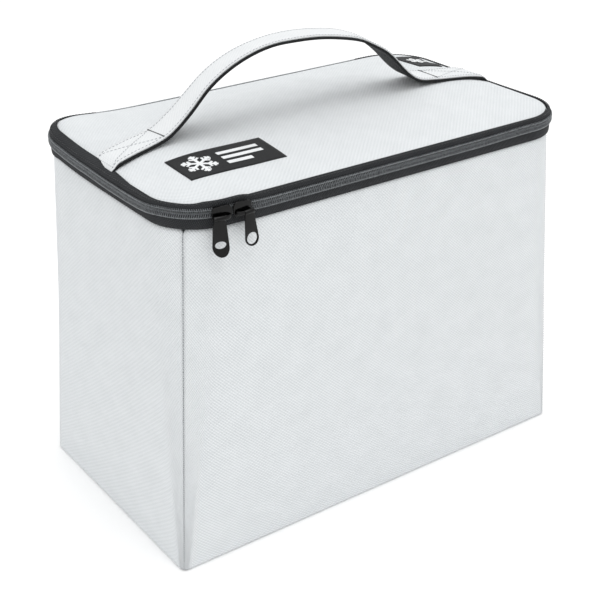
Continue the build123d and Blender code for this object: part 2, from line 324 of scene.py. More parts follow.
def uAtLength(s):
    # place round the rim at a length from the front's left end, positive towards the right
    s %= rimLength
    for side, run in enumerate(rimRuns):
        if s < run:
            return side + s / run
        s -= run
    return 8.0


def rimLengthAt(u):
    # length from the front's left end back to a place on the rim, the left way round
    side = int(u) % 8
    return sum(rimRuns[side + 1 :]) + rimRuns[side] * (1 - (u - int(u)))


def smooth(t):
    t = min(max(t, 0.0), 1.0)
    return t * t * (3 - 2 * t)


def hump(s, middle, flat, fall):
    # 1 within a flat half-length of a place on the rim, falling smoothly to 0
    return 1 - smooth((abs(s - middle) - flat) / fall)


def leftHem(s):
    return 1.7 * mm * hump(s, -(rimArc + cornerY), 52 * mm, 22 * mm)


def upperShift(s, out, z):
    # over the two sliders the upper tape stands up in a low fold
    extraOut, extraZ = chainShift(s, out, z)
    fold = hump(s, -2 * mm, 12 * mm, 8 * mm)
    top = smooth((z - chainMiddle - 3 * mm) / (4 * mm))
    inward = hump(s, -150 * mm, 26 * mm, 66 * mm)
    inward += hump(s, 2 * (cornerX + cornerY) + rimArc - cornerY, 20 * mm, 40 * mm) * 0.3
    over = inward * smooth((0.5 * mm - out) / (1.2 * mm)) * smooth((z - lidEdge + 2.5 * mm) / (1.5 * mm))
    extraOut -= over * 3.6 * mm
    return extraOut + fold * top * 0.9 * mm, extraZ + fold * top * 1.6 * mm + over * 2.2 * mm


def linkMesh(name, mesh):
    obj = bpy.data.objects.new(name, mesh)
    scene.collection.objects.link(obj)
    return obj


def newObject(name, verts, faces, material, uvs=None, smoothShade=True):
    mesh = bpy.data.meshes.new(name)
    mesh.from_pydata([tuple(v) for v in verts], [], faces)
    if uvs is not None:
        layer = mesh.uv_layers.new(name="cloth")
        for loop in mesh.loops:
            layer.data[loop.index].uv = uvs[loop.vertex_index]
    mesh.materials.append(material)
    mesh.polygons.foreach_set("use_smooth", [smoothShade] * len(mesh.polygons))
    mesh.update()
    return linkMesh(name, mesh)


def carry(obj, body, slot, *nodes):
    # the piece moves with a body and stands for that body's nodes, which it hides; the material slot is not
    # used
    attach(obj, body)
    if nodes:
        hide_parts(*nodes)
    return obj


def gridFaces(nx, ny):
    # squares over rows of points
    wide = nx + 1
    return [(a, a + 1, a + wide + 1, a + wide) for j in range(ny) for a in range(j * wide, j * wide + nx)]


def slabFaces(nx, ny):
    # closed slab: a grid, the same grid again under it, and a rim between the two
    wide = nx + 1
    half = wide * (ny + 1)
    faces = []
    for a, b, c, d in gridFaces(nx, ny):
        faces += [(a, b, c, d), (half + a, half + d, half + c, half + b)]
    border = list(range(wide)) + [j * wide + nx for j in range(1, ny + 1)]
    border += [ny * wide + i for i in range(nx - 1, -1, -1)] + [j * wide for j in range(ny - 1, 0, -1)]
    return faces + [(b, a, half + a, half + b) for a, b in zip(border, border[1:] + border[:1])]


def outwardFaces(obj):
    mesh = bmesh.new()
    mesh.from_mesh(obj.data)
    bmesh.ops.recalc_face_normals(mesh, faces=mesh.faces)
    mesh.to_mesh(obj.data)
    mesh.free()
    return obj


def applyModifiers(obj):
    graph = bpy.context.evaluated_depsgraph_get()
    made = bpy.data.meshes.new_from_object(obj.evaluated_get(graph), depsgraph=graph)
    obj.modifiers.clear()
    old = obj.data
    made.name = old.name
    obj.data = made
    return obj


def subdivide(obj):
    modifier = obj.modifiers.new("Smooth", "SUBSURF")
    modifier.levels = 1
    modifier.render_levels = 1
    applyModifiers(obj)


def thicken(obj, thickness):
    modifier = obj.modifiers.new("Thickness", "SOLIDIFY")
    modifier.thickness = thickness
    modifier.offset = 0
    applyModifiers(obj)
    outwardFaces(obj)


def sweep(name, sections, material, closedPath, profileLengths=None, pathLengths=None):
    # skin over a list of closed sections; open ends get a cap
    count = len(sections[0])
    verts = [p for section in sections for p in section]
    faces = []
    rows = len(sections)
    for i in range(rows if closedPath else rows - 1):
        a, b = i * count, ((i + 1) % rows) * count
        for j in range(count):
            k = (j + 1) % count
            faces.append((a + j, a + k, b + k, b + j))
    if not closedPath:
        faces.append(tuple(reversed(range(count))))
        faces.append(tuple(range((rows - 1) * count, rows * count)))
    uvs = None
    if profileLengths:
        uvs = [(pathLengths[i], profileLengths[j]) for i in range(rows) for j in range(count)]
    return outwardFaces(newObject(name, verts, faces, material, uvs))


def runningLengths(points):
    total, made = 0.0, [0.0]
    for a, b in zip(points, points[1:]):
        total += (b - a).length
        made.append(total)
    return made


def rimSweep(name, profile, material, start=None, finish=None, step=4 * mm, shift=None):
    # closed band round the rim; the profile is a loop of (out from the rim, height)
    closedPath = start is None
    first = 0.0 if closedPath else start
    length = rimLength if closedPath else finish - start
    count = round(length / step)
    places = [first + length * i / count for i in range(count if closedPath else count + 1)]
    sections = []
    for s in places:
        section = []
        for out, z in profile:
            extraOut, extraZ = shift(s, out, z) if shift else (0, 0)
            section.append(rimPoint(uAtLength(s), -(out + extraOut), z + extraZ)[0])
        sections.append(section)
    across = runningLengths([Vector(p) for p in profile])
    return sweep(name, sections, material, closedPath, across, places)


def softWaves(p, size, amount, seed):
    # gentle unevenness of cloth over foam
    q = Vector(p) / size + Vector((seed, seed * 2.3, seed * 4.1))
    return noise.noise(q) * amount


polyester = {
    "quality": 6,
    "mass": 0.25,
    "tension_stiffness": 12,
    "compression_stiffness": 12,
    "shear_stiffness": 6,
    "bending_stiffness": 1.5,
    "pin_stiffness": 1,
}


def simulateSkin(obj, pinned, pressure, cap, frames):
    # the skin is held at its seams and blown outwards, then each point's travel is capped
    rest = [v.co.copy() for v in obj.data.vertices]
    group = obj.vertex_groups.new(name="seams")
    group.add(sorted(pinned), 1.0, "REPLACE")
    cloth = obj.modifiers.new("Padding", "CLOTH")
    for key, value in polyester.items():
        setattr(cloth.settings, key, value)
    cloth.settings.use_pressure = True
    cloth.settings.uniform_pressure_force = pressure
    cloth.settings.effector_weights.gravity = 0
    cloth.settings.vertex_group_mass = "seams"
    cloth.collision_settings.use_collision = False
    cloth.point_cache.frame_start = 1
    cloth.point_cache.frame_end = frames
    for f in range(1, frames + 1):
        scene.frame_set(f)
    graph = bpy.context.evaluated_depsgraph_get()
    blown = obj.evaluated_get(graph).to_mesh()
    moved = [v.co.copy() for v in blown.vertices]
    obj.evaluated_get(graph).to_mesh_clear()
    obj.modifiers.remove(cloth)
    obj.vertex_groups.clear()
    scene.frame_set(1)
    furthest = 0.0
    for i, v in enumerate(obj.data.vertices):
        travel = moved[i] - rest[i]
        furthest = max(furthest, travel.length)
        if travel.length > 1e-9:
            travel *= cap * math.tanh(travel.length / cap) / travel.length
        v.co = rest[i] + travel
    print(f"  {obj.name}: furthest {furthest / mm:.1f} mm before the cap")


walls = {
    "straightCells": 44,
    "endCells": 24,
    "arcCells": 8,
    "rows": 42,
    "bulge": 2.4 * mm,
    "pressure": 3.0,
    "seamDepth": 0.35 * mm,
    "seamWidth": 1.8 * mm,
    "edgeRadius": 2.5 * mm,
    "padDepth": 5.4 * mm,
}


def wallColumns():
    cells = {0: walls["straightCells"], 4: walls["straightCells"], 2: walls["endCells"], 6: walls["endCells"]}
    made = []
    for side in range(8):
        count = cells.get(side, walls["arcCells"])
        made += [side + i / count for i in range(count)]
    return made


def makeSkin():
    columns = wallColumns()
    heights = [0.0, 0.7 * mm, 1.6 * mm, 2.6 * mm]
    for i in range(1, walls["rows"] + 1):
        heights.append(heights[3] + (bodyTop - heights[3]) * i / walls["rows"])
    verts = []
    for z in heights:
        edge = walls["edgeRadius"]
        tuck = edge - math.sqrt(max(edge**2 - max(edge - z, 0) ** 2, 0))
        for u in columns:
            verts.append(wallPoint(u, tuck, z)[0])
    count = len(columns)
    faces = []
    for i in range(len(heights) - 1):
        for j in range(count):
            k = (j + 1) % count
            faces.append((i * count + j, i * count + k, (i + 1) * count + k, (i + 1) * count + j))
    skin = newObject("skin", verts, faces, whitePolyester)
    seams = [j for j, u in enumerate(columns) if abs((u % 2) - 1.5) < 1e-6]
    pinned = set(range(4 * count)) | set(range((len(heights) - 1) * count, len(heights) * count))
    for i in range(len(heights)):
        pinned |= {i * count + j for j in seams}
    return skin, columns, heights, seams, pinned


print("walls")
skin, columns, heights, seamColumns, pinnedSkin = makeSkin()
simulateSkin(skin, pinnedSkin, walls["pressure"], walls["bulge"], 16)
for v in skin.data.vertices:
    u = columns[v.index % len(columns)]
    fade = math.sin(math.pi * min(max(v.co.z / bodyTop, 0), 1))
    v.co += wallPoint(u, 0, v.co.z)[1] * softWaves(v.co, 0.07, 0.5 * mm, 3.0) * fade
skinPoints = [v.co.copy() for v in skin.data.vertices]
bpy.data.objects.remove(skin)


def wallPanel(name, firstSeam, lastSeam, nodes):
    # one wall from seam to seam: the blown outer skin, edges turned in at the seams, and a flat back
    count = len(columns)
    span = (lastSeam - firstSeam) % count
    ids = [(firstSeam + j) % count for j in range(span + 1)]
    outer, inner, uvs = [], [], []
    across = runningLengths([Vector(rimPoint(columns[j], 0, bodyTop)[0]) for j in ids])
    for i, z in enumerate(heights):
        for k, j in enumerate(ids):
            u = columns[j]
            p = skinPoints[i * count + j]
            edge = min(across[k], across[-1] - across[k])
            dip = walls["seamDepth"] * math.exp(-((edge / walls["seamWidth"]) ** 2))
            out = wallPoint(u, 0, z)[1]
            if z > bodyTop - 1 * mm and 5.5 <= u <= 7.5:
                p = p + Vector((0, 0, leftHem(-rimLengthAt(u))))
            outer.append(p - out * dip)
            inner.append(wallPoint(u, walls["padDepth"], max(z, 0.7 * mm))[0])
            uvs.append((across[k] - across[-1] / 2, z))
    wide = span + 1
    shift = len(outer)
    faces = slabFaces(span, len(heights) - 1)
    obj = outwardFaces(newObject(name, outer + inner, faces, whitePolyester, uvs + uvs))
    creases = obj.data.attributes.new("crease_edge", "FLOAT", "EDGE")
    for edge in obj.data.edges:
        a, b = (i % shift % wide for i in edge.vertices)
        if a == b and a in (0, span) and max(edge.vertices) < shift:
            creases.data[edge.index].value = 0.9
    subdivide(obj)
    carry(obj, "bag", "white_polyester", *nodes)


# seam columns come in order front-right, back-right, back-left, front-left
frontRight, backRight, backLeft, frontLeft = seamColumns
for name, firstSeam, lastSeam, nodes in (
    ("wall_front", frontLeft, frontRight, ("front_panel", "front_foam")),
    ("wall_right", frontRight, backRight, ("right_panel", "right_foam")),
    ("wall_back", backRight, backLeft, ("back_panel", "back_foam")),
    ("wall_left", backLeft, frontLeft, ("left_panel", "left_foam")),
):
    wallPanel(name, firstSeam, lastSeam, nodes)


def gridPad(name, outline, cells, topZ, bottomZ, material):
    # flat pad with rounded corners made of a regular grid
    nx, ny = cells
    places = [roundedGrid(i, j, nx, ny, *outline) for j in range(ny + 1) for i in range(nx + 1)]
    verts = [(x, y, z(x, y)) for z in (topZ, bottomZ) for x, y in places]
    return outwardFaces(newObject(name, verts, slabFaces(nx, ny), material, places + places))


def roundedGrid(i, j, nx, ny, halfX, halfY, radius):
    # grid point pulled in so that the grid's outline has round corners
    x = halfX * (2 * i / nx - 1)
    y = halfY * (2 * j / ny - 1)
    level = max(abs(x) / halfX, abs(y) / halfY)
    if level < 1e-9:
        return x, y
    r = radius * level**4
    cx, cy = halfX * level - r, halfY * level - r
    dx, dy = abs(x) - cx, abs(y) - cy
    if dx > 0 and dy > 0 and r > 0:
        scale = r / math.hypot(dx, dy)
        x = math.copysign(cx + dx * scale, x)
        y = math.copysign(cy + dy * scale, y)
    return x, y


basePad = gridPad(
    "base_pad",
    (halfBaseX - walls["edgeRadius"], halfBaseY - walls["edgeRadius"], 2.5 * mm),
    (48, 26),
    lambda x, y: walls["padDepth"],
    lambda x, y: 0.0,
    whitePolyester,
)
carry(basePad, "bag", "white_polyester", "base_panel", "base_foam")

print("liner")
liner = {"floor": 6.0 * mm, "sheet": 0.4 * mm, "wall": 5.9 * mm, "crease": 0.7 * mm, "corner": 8 * mm}


def makeLiner():
    steps = [i / 6 for i in range(7)]
    levels = [liner["floor"] + liner["corner"] * (1 - math.cos(t * math.pi / 2)) for t in steps]
    tucks = [liner["corner"] * (1 - math.sin(t * math.pi / 2)) for t in steps]
    levels += [levels[-1] + (bodyTop - 0.2 * mm - levels[-1]) * i / 30 for i in range(1, 31)]
    tucks += [0.0] * 30
    us = wallColumns()
    verts, uvs = [], []
    for z, tuck in zip(levels, tucks):
        for u in us:
            fade = smooth((bodyTop - z) / 0.03)
            p, out = wallPoint(u, liner["wall"] + tuck, z)
            crease = abs(noise.noise(p * 38)) * liner["crease"] * fade
            verts.append(p - out * crease)
            uvs.append((0, z))
    count = len(us)
    faces = []
    for i in range(len(levels) - 1):
        for j in range(count):
            k = (j + 1) % count
            faces.append((i * count + k, i * count + j, (i + 1) * count + j, (i + 1) * count + k))
    previous = list(range(count))
    for inset in (12, 26, 44, 64, 82):
        start = len(verts)
        for u in us:
            p, out = wallPoint(u, liner["wall"] + liner["corner"] + inset * mm, liner["floor"])
            verts.append(p + Vector((0, 0, abs(noise.noise(p * 30)) * 0.5 * mm)))
            uvs.append((p.x, p.y))
        row = [start + j for j in range(count)]
        for j in range(count):
            k = (j + 1) % count
            faces.append((previous[k], previous[j], row[j], row[k]))
        previous = row
    faces.append(tuple(previous))
    obj = newObject("liner", verts, faces, foilLiner, uvs)
    thicken(obj, liner["sheet"])
    carry(obj, "bag", "foil_liner", "liner_tub")


makeLiner()


def roundedProfile(corners, radius, steps=3):
    # loop of points with its corners rounded off
    made = []
    count = len(corners)
    for i in range(count):
        p = Vector(corners[i])
        a = Vector(corners[i - 1]) - p
        b = Vector(corners[(i + 1) % count]) - p
        r = min(radius, a.length * 0.45, b.length * 0.45)
        start, end = p + a.normalized() * r, p + b.normalized() * r
        for k in range(steps + 1):
            t = k / steps
            made.append(tuple(start.lerp(p, t).lerp(p.lerp(end, t), t)))
    return made


def profileFrom(base, points):
    # outline given in millimetres, out from the rim and up from a height
    return [(out * mm, base + up * mm) for out, up in points]


mouthLoop = profileFrom(
    bodyTop, [(-1.1, -0.4), (-1.1, 1.2), (-7.3, 1.2), (-7.3, -8), (-6.1, -8), (-6.1, -0.4)]
)
mouthBinding = rimSweep("mouth_binding", roundedProfile(mouthLoop, 0.8 * mm), bindingTape)
carry(mouthBinding, "bag", "binding_tape", "rim_binding")

print("zip")
zipper = {
    "pitch": 1.35 * mm,
    "toothRadius": 0.31 * mm,
    "toothLength": 3.9 * mm,
    "toothOut": 1.7 * mm,
    "slant": 0.6 * mm,
    "cornerLift": 2.3 * mm,
    "leftSag": 1.0 * mm,
    "rightLift": 1.2 * mm,
    "leftSlider": -5.4 * mm,  # along the rim from the front's left end
    "leftPull": -7.9 * mm,
    "rightSlider": 8.4 * mm,
    "rightPull": 11.2 * mm,
}


def chainShift(s, out, z):
    # the chain runs higher round both front corners and sags a little along the left end
    lift = zipper["cornerLift"] * hump(s, -18 * mm, 20 * mm, 26 * mm)
    lift += zipper["rightLift"] * hump(s, rimRuns[0] + 22 * mm, 30 * mm, 50 * mm)
    lift -= zipper["leftSag"] * hump(s, -92 * mm, 10 * mm, 30 * mm)
    share = min(max((z - bodyTop) / (chainMiddle - bodyTop), 0), 1)
    if z > chainMiddle:
        share = min(max((lidEdge - z) / (lidEdge - chainMiddle), 0.3), 1)
    return 0, lift * share


def lowerShift(s, out, z):
    # less of the lower tape shows along the left end
    extraOut, extraZ = chainShift(s, out, z)
    low = 1 - smooth((z - bodyTop) / (4 * mm))
    return extraOut, extraZ + (leftHem(s) + 0.9 * mm * hump(s, -22 * mm, 26 * mm, 24 * mm)) * low


lowerLoop = profileFrom(
    bodyTop,
    [(0.9, -0.9), (1.35, -0.5), (1.5, 2.0), (1.5, 4.4), (1.25, 6.0), (1.2, 7.9), (0.4, 7.9), (0.45, 4.4),
     (0.1, 1.0), (0.1, -0.7)],
)
lowerTape = rimSweep("zip_tape_lower", lowerLoop, zipTape, zipStart, zipFinish, shift=lowerShift)
carry(lowerTape, "bag", "zip_tape", "lower_zip_tape")
upperLoop = profileFrom(chainMiddle, [(1.2, 0.8), (1.25, 3.0), (1.5, 4.2), (1.3, 5.6)])
upperLoop += profileFrom(lidEdge, [(0.9, -1.3), (0.2, -0.7), (-1.0, -0.5), (-1.3, -1.0), (-0.5, -1.4)])
upperLoop += profileFrom(chainMiddle, [(0.2, 4.4), (0.4, 0.8)])
upperTape = rimSweep("zip_tape_upper", upperLoop, zipTape, zipStart, zipFinish, shift=upperShift)
carry(upperTape, "lid", "zip_tape", "upper_zip_tape")


def pathObject(name, lines):
    # bare edges for the repeated shapes to follow
    verts, edges = [], []
    for line in lines:
        start = len(verts)
        verts += [tuple(p) for p in line]
        edges += [(start + i, start + i + 1) for i in range(len(line) - 1)]
    mesh = bpy.data.meshes.new(name)
    mesh.from_pydata(verts, edges, [])
    return linkMesh(name, mesh)


def repeatTree(name, material, buildUnit, sizes):
    # copies of one small shape at a pitch along a path, each turned along it and kept upright
    tree = bpy.data.node_groups.new(name, "GeometryNodeTree")
    tree.interface.new_socket("Geometry", in_out="INPUT", socket_type="NodeSocketGeometry")
    sockets = {}
    for key, value in sizes.items():
        socket = tree.interface.new_socket(key, in_out="INPUT", socket_type="NodeSocketFloat")
        socket.default_value = value
        sockets[key] = socket.identifier
    tree.interface.new_socket("Geometry", in_out="OUTPUT", socket_type="NodeSocketGeometry")
    given = tree.nodes.new("NodeGroupInput").outputs
    curve = addNode(tree, "GeometryNodeMeshToCurve", None, None, {"Mesh": given["Geometry"]})
    points = addNode(
        tree, "GeometryNodeCurveToPoints", {"mode": "LENGTH"}, None,
        {"Curve": curve.outputs["Curve"], "Length": given["Pitch"]},
    )
    turned = addNode(
        tree, "FunctionNodeAlignRotationToVector", {"axis": "X"}, None, {"Vector": points.outputs["Tangent"]}
    )
    unit = buildUnit(tree, given)
    placed = addNode(
        tree, "GeometryNodeInstanceOnPoints", None, None,
        {"Points": points.outputs["Points"], "Instance": unit, "Rotation": turned.outputs["Rotation"]},
    )
    made = placed.outputs["Instances"]
    for kind, inputs in (
        ("GeometryNodeRealizeInstances", None),
        ("GeometryNodeSetMaterial", {"Material": material}),
        ("GeometryNodeSetShadeSmooth", None),
    ):
        made = addNode(tree, kind, None, inputs, {"Geometry": made}).outputs["Geometry"]
    addNode(tree, "NodeGroupOutput", None, None, {"Geometry": made})
    return tree, sockets


def toothUnit(tree, given):
    # one loop of the coil: a short bar across the chain that bows outwards and leans a little
    arc = addNode(tree, "GeometryNodeCurveQuadraticBezier", None, {"Resolution": 5})
    ends = {
        "Start": {"X": ("Slant", -1.0), "Z": ("Length", -0.5)},
        "Middle": {"Y": ("Out", -1.0)},
        "End": {"X": ("Slant", 1.0), "Z": ("Length", 0.5)},
    }
    for key, parts in ends.items():
        links = {axis: combine(tree, "MULTIPLY", given[size], share) for axis, (size, share) in parts.items()}
        place = addNode(tree, "ShaderNodeCombineXYZ", None, None, links)
        tree.links.new(place.outputs[0], arc.inputs[key])
    ring = addNode(
        tree, "GeometryNodeCurvePrimitiveCircle", None, {"Resolution": 6}, {"Radius": given["Radius"]}
    )
    tube = addNode(
        tree, "GeometryNodeCurveToMesh", None, {"Fill Caps": True},
        {"Curve": arc.outputs["Curve"], "Profile Curve": ring.outputs["Curve"]},
    )
    return tube.outputs["Mesh"]


def stitchUnit(tree, given):
    # one stitch: a plump grain of thread lying along the seam
    ball = addNode(tree, "GeometryNodeMeshUVSphere", None, {"Segments": 8, "Rings": 5, "Radius": 1.0})
    size = addNode(
        tree, "ShaderNodeCombineXYZ", None, None,
        {"X": given["Half length"], "Y": given["Thread radius"], "Z": given["Thread radius"]},
    )
    grain = addNode(
        tree, "GeometryNodeTransform", None, None,
        {"Geometry": ball.outputs["Mesh"], "Scale": size.outputs[0]},
    )
    return grain.outputs["Geometry"]


def runTree(obj, treeAndSockets, values):
    tree, sockets = treeAndSockets
    modifier = obj.modifiers.new("Repeat", "NODES")
    modifier.node_group = tree
    for key, value in values.items():
        modifier[sockets[key]] = value
    applyModifiers(obj)
    return obj


toothTree = repeatTree(
    "zip_teeth",
    coilNylonPaintedHighlight,
    toothUnit,
    {
        "Pitch": zipper["pitch"],
        "Length": zipper["toothLength"],
        "Radius": zipper["toothRadius"],
        "Out": zipper["toothOut"],
        "Slant": zipper["slant"],
    },
)


def makeCoil(name, z, slant, body, node, firstOffset):
    count = round((zipFinish - zipStart) / (2 * mm))
    points = []
    for i in range(count + 1):
        s = zipStart + firstOffset + (zipFinish - zipStart - 2 * mm) * i / count
        lift = chainShift(s, 0, z)[1]
        points.append(rimPoint(uAtLength(s), -(plan["tapeBulge"] + 0.55 * mm), z + lift)[0])
    coil = runTree(pathObject(name, [points]), toothTree, {"Slant": slant})
    carry(coil, body, "zip_coil", node)


makeCoil("zip_coil_lower", chainMiddle - 1.4 * mm, zipper["slant"], "bag", "lower_zip_coil", 0.3 * mm)
makeCoil(
    "zip_coil_upper", chainMiddle + 1.4 * mm, -zipper["slant"], "lid", "upper_zip_coil",
    0.3 * mm + zipper["pitch"] / 2,
)


def makeCord(name, z, body):
    # the cord sewn along the coil, which holds it to the tape
    centreOut = plan["tapeBulge"] + 1.15 * mm
    profile = []
    for i in range(8):
        angle = 2 * math.pi * i / 8
        profile.append((centreOut + 0.28 * mm * math.cos(angle), z + 0.28 * mm * math.sin(angle)))
    cord = rimSweep(name, profile, cordNylonPaintedHighlight, zipStart, zipFinish, shift=chainShift)
    carry(cord, body, "zip_coil")


makeCord("coil_cord_lower", chainMiddle - 2.5 * mm, "bag")
makeCord("coil_cord_upper", chainMiddle + 2.5 * mm, "lid")

print("lid")
lid = {
    "inset": 0.9 * mm,
    "cells": (58, 34),
    "crown": 7.2 * mm,
    "reach": 62 * mm,
    "swells": ((-0.124, 0.034, 3.4 * mm), (0.122, 0.036, 2.2 * mm)),  # under the handle's sewn ends
    "swellAcross": 0.045,
    "bulge": 1.6 * mm,
    "pressure": 2.5,
    "thick": 6.2 * mm,
}
lidHalfX, lidHalfY = halfRimX - lid["inset"], halfRimY - lid["inset"]
lidRadius = plan["rimRadius"] - lid["inset"]


def edgeDistance(x, y):
    # how far a point is inside the lid's rounded outline
    dx = abs(x) - (lidHalfX - lidRadius)
    dy = abs(y) - (lidHalfY - lidRadius)
    outside = math.hypot(max(dx, 0), max(dy, 0)) + min(max(dx, dy), 0)
    return lidRadius - outside


def crownHeight(x, y):
    t = min(max(edgeDistance(x, y) / lid["reach"], 0), 1)
    rise = lid["crown"] * (1 - (1 - t) ** 2.2)
    bump = 0.0
    for middle, wide, high in lid["swells"]:
        bump += high * math.exp(-(((x - middle) / wide) ** 2) - ((y / lid["swellAcross"]) ** 2))
    return lidEdge - 0.8 * mm + rise + bump * min(t * 3, 1) + cornerRise(x, y, lidEdge)


def makeLidSkin():
    nx, ny = lid["cells"]
    verts = []
    for j in range(ny + 1):
        for i in range(nx + 1):
            x, y = roundedGrid(i, j, nx, ny, lidHalfX, lidHalfY, lidRadius)
            verts.append((x, y, crownHeight(x, y)))
    wide = nx + 1
    pinned = {
        j * wide + i for j in range(ny + 1) for i in range(nx + 1) if i in (0, nx) or j in (0, ny)
    }
    return newObject("lid_skin", verts, gridFaces(nx, ny), whitePolyester), pinned


lidSkin, pinnedLid = makeLidSkin()
simulateSkin(lidSkin, pinnedLid, lid["pressure"], lid["bulge"], 14)
lidPoints = []
for v in lidSkin.data.vertices:
    fade = smooth(edgeDistance(v.co.x, v.co.y) / 0.02)
    wave = softWaves(v.co, 0.06, 0.7 * mm, 7.0) + softWaves(v.co, 0.022, 0.2 * mm, 11.0)
    lidPoints.append(v.co + Vector((0, 0, wave * fade)))
bpy.data.objects.remove(lidSkin)


def makeLidPad():
    under = []
    for p in lidPoints:
        low = lidEdge - 3.6 * mm + cornerRise(p.x, p.y, lidEdge)
        under.append(Vector((p.x, p.y, max(p.z - lid["thick"], low))))
    uvs = [(p.x, p.y) for p in lidPoints]
    faces = slabFaces(*lid["cells"])
    obj = outwardFaces(newObject("lid_pad", lidPoints + under, faces, whitePolyester, uvs + uvs))
    subdivide(obj)
    carry(obj, "lid", "white_polyester", "lid_panel", "lid_foam")
    return obj


lidPad = makeLidPad()
lidTree = BVHTree.FromPolygons(
    [v.co.copy() for v in lidPad.data.vertices], [tuple(p.vertices) for p in lidPad.data.polygons]
)


def onLid(x, y, above=0.0):
    hit = lidTree.ray_cast(Vector((x, y, 1.0)), Vector((0, 0, -1)))[0]
    z = hit.z if hit else lidEdge
    return Vector((x, y, z + above))


def creasedFoil(x, y):
    crease = abs(noise.noise(Vector((x * 30, y * 30, 5)))) * 0.6 * mm
    return lidEdge - 4.3 * mm + cornerRise(x, y, lidEdge) - crease


lidLining = gridPad(
    "lid_lining",
    (lidHalfX - 1.2 * mm, lidHalfY - 1.2 * mm, lidRadius - 1.2 * mm),
    (40, 24),
    lambda x, y: lidEdge - 3.7 * mm + cornerRise(x, y, lidEdge),
    creasedFoil,
    foilLiner,
)
carry(lidLining, "lid", "foil_liner", "lid_liner")
lidLoop = profileFrom(
    lidEdge, [(-1.6, -5.4), (-1.6, -0.6), (-2.4, -0.6), (-2.6, -4.2), (-7.2, -4.2), (-7.2, -5.4)]
)
lidBinding = rimSweep("lid_edge_binding", roundedProfile(lidLoop, 0.6 * mm), bindingTape)
carry(lidBinding, "lid", "binding_tape", "lid_binding")

hinge = {"overlap": 1.6 * mm, "thick": 0.6 * mm, "half": 118.6 * mm}


def makeHinge():
    rows = 14
    low, high = bodyTop - hinge["overlap"], lidEdge - 0.6 * mm
    across = 60
    verts, uvs = [], []
    for j in range(rows + 1):
        t = j / rows
        z = low + (high - low) * t
        y = halfRimY + 0.6 * mm - 1.0 * mm * t + 1.2 * mm * math.sin(math.pi * t)
        for i in range(across + 1):
            x = hinge["half"] * (2 * i / across - 1)
            verts.append((x, y + softWaves((x, 0, z), 0.02, 0.3 * mm, 2.0), z + cornerRise(x, y, z)))
            uvs.append((x, z))
    obj = newObject("hinge_fabric", verts, gridFaces(across, rows), whitePolyester, uvs)
    thicken(obj, hinge["thick"])
    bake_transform(obj)
    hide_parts("hinge_gusset")


makeHinge()

print("handle")
strap = {
    "wide": 28 * mm,
    "front": -15,
    "back": 13,
    "webbing": 1.6 * mm,
    "cover": 1.0 * mm,
    "steps": 150,
    "cells": 8,
    "hemIn": 2.6 * mm,
    "press": 7 * mm,
    "rounding": 0.35 * mm,
    "leftSewn": (-162.5 * mm, -123 * mm),  # outer and inner ends of the sewn boxes
    "rightSewn": (113 * mm, 162.5 * mm),
}
# places along the bag and heights that the strap's underside passes at its two edges, in millimetres
frontEdge = [
    (-165, 267), (-148, 272), (-126, 277.5), (-115, 283.5), (-103, 293.5), (-87, 308.5), (-66, 320),
    (-42, 326.5), (-18, 327), (6, 325), (34, 319), (48, 312.5), (63, 303.5), (80, 287), (93, 278.5),
    (110, 275.5), (145, 271.5), (164.5, 267),
]
backEdge = [
    (-164.5, 266.5), (-140, 272.5), (-122, 276), (-108, 284), (-94, 294.5), (-77, 308), (-58, 317.5),
    (-36, 323), (-12, 325), (15, 323), (37, 318.5), (57, 310), (70, 300.5), (84, 287), (97, 278),
    (112, 275), (148, 271), (164.5, 266.5),
]


def splinePoints(points, y):
    # even points on a smooth curve through given ones
    knots = [Vector((x, y, z)) * mm for x, z in points]
    dense = []
    for i in range(len(knots) - 1):
        p0 = knots[max(i - 1, 0)]
        p1, p2 = knots[i], knots[i + 1]
        p3 = knots[min(i + 2, len(knots) - 1)]
        for k in range(12):
            t = k / 12
            gentle = 2 * p1 + (p2 - p0) * t + (2 * p0 - 5 * p1 + 4 * p2 - p3) * t * t
            dense.append(0.5 * (gentle + (3 * p1 - p0 - 3 * p2 + p3) * t**3))
    dense.append(knots[-1])
    return dense


def evenly(points, steps):
    # the same curve cut into equal lengths
    lengths = runningLengths(points)
    made = []
    k = 0
    for i in range(steps + 1):
        s = lengths[-1] * i / steps
        while k < len(lengths) - 2 and lengths[k + 1] < s:
            k += 1
        t = (s - lengths[k]) / max(lengths[k + 1] - lengths[k], 1e-9)
        made.append(points[k].lerp(points[k + 1], t))
    return made


def relax(points, rounds=3):
    for _ in range(rounds):
        inside = [(a + b * 2 + c) / 4 for a, b, c in zip(points, points[1:], points[2:])]
        points = [points[0]] + inside + [points[-1]]
    return points


strapFront = relax(evenly(splinePoints(frontEdge, strap["front"]), strap["steps"]))
strapBack = relax(evenly(splinePoints(backEdge, strap["back"]), strap["steps"]))
strapAt = runningLengths([(p + q) / 2 for p, q in zip(strapFront, strapBack)])


def strapFrame(i):
    last = strap["steps"]
    a, b = strapFront[i], strapBack[i]
    before, after = max(i - 1, 0), min(i + 1, last)
    along = (strapFront[after] + strapBack[after] - strapFront[before] - strapBack[before]).normalized()
    across = (b - a).normalized()
    up = along.cross(across).normalized()
    if up.z < 0 and abs(up.z) > 0.2:
        up = -up
    return a, b, up


def strapPoint(i, share, above):
    # towards its ends the strap is pressed flat under the zip tape
    a, b, up = strapFrame(i)
    fromEnd = min(strapAt[i], strapAt[-1] - strapAt[i])
    press = smooth(fromEnd / strap["press"])
    p = a.lerp(b, share) + up * (above * (0.25 + 0.75 * press))
    p.z -= 1.3 * mm * (1 - press)
    return p


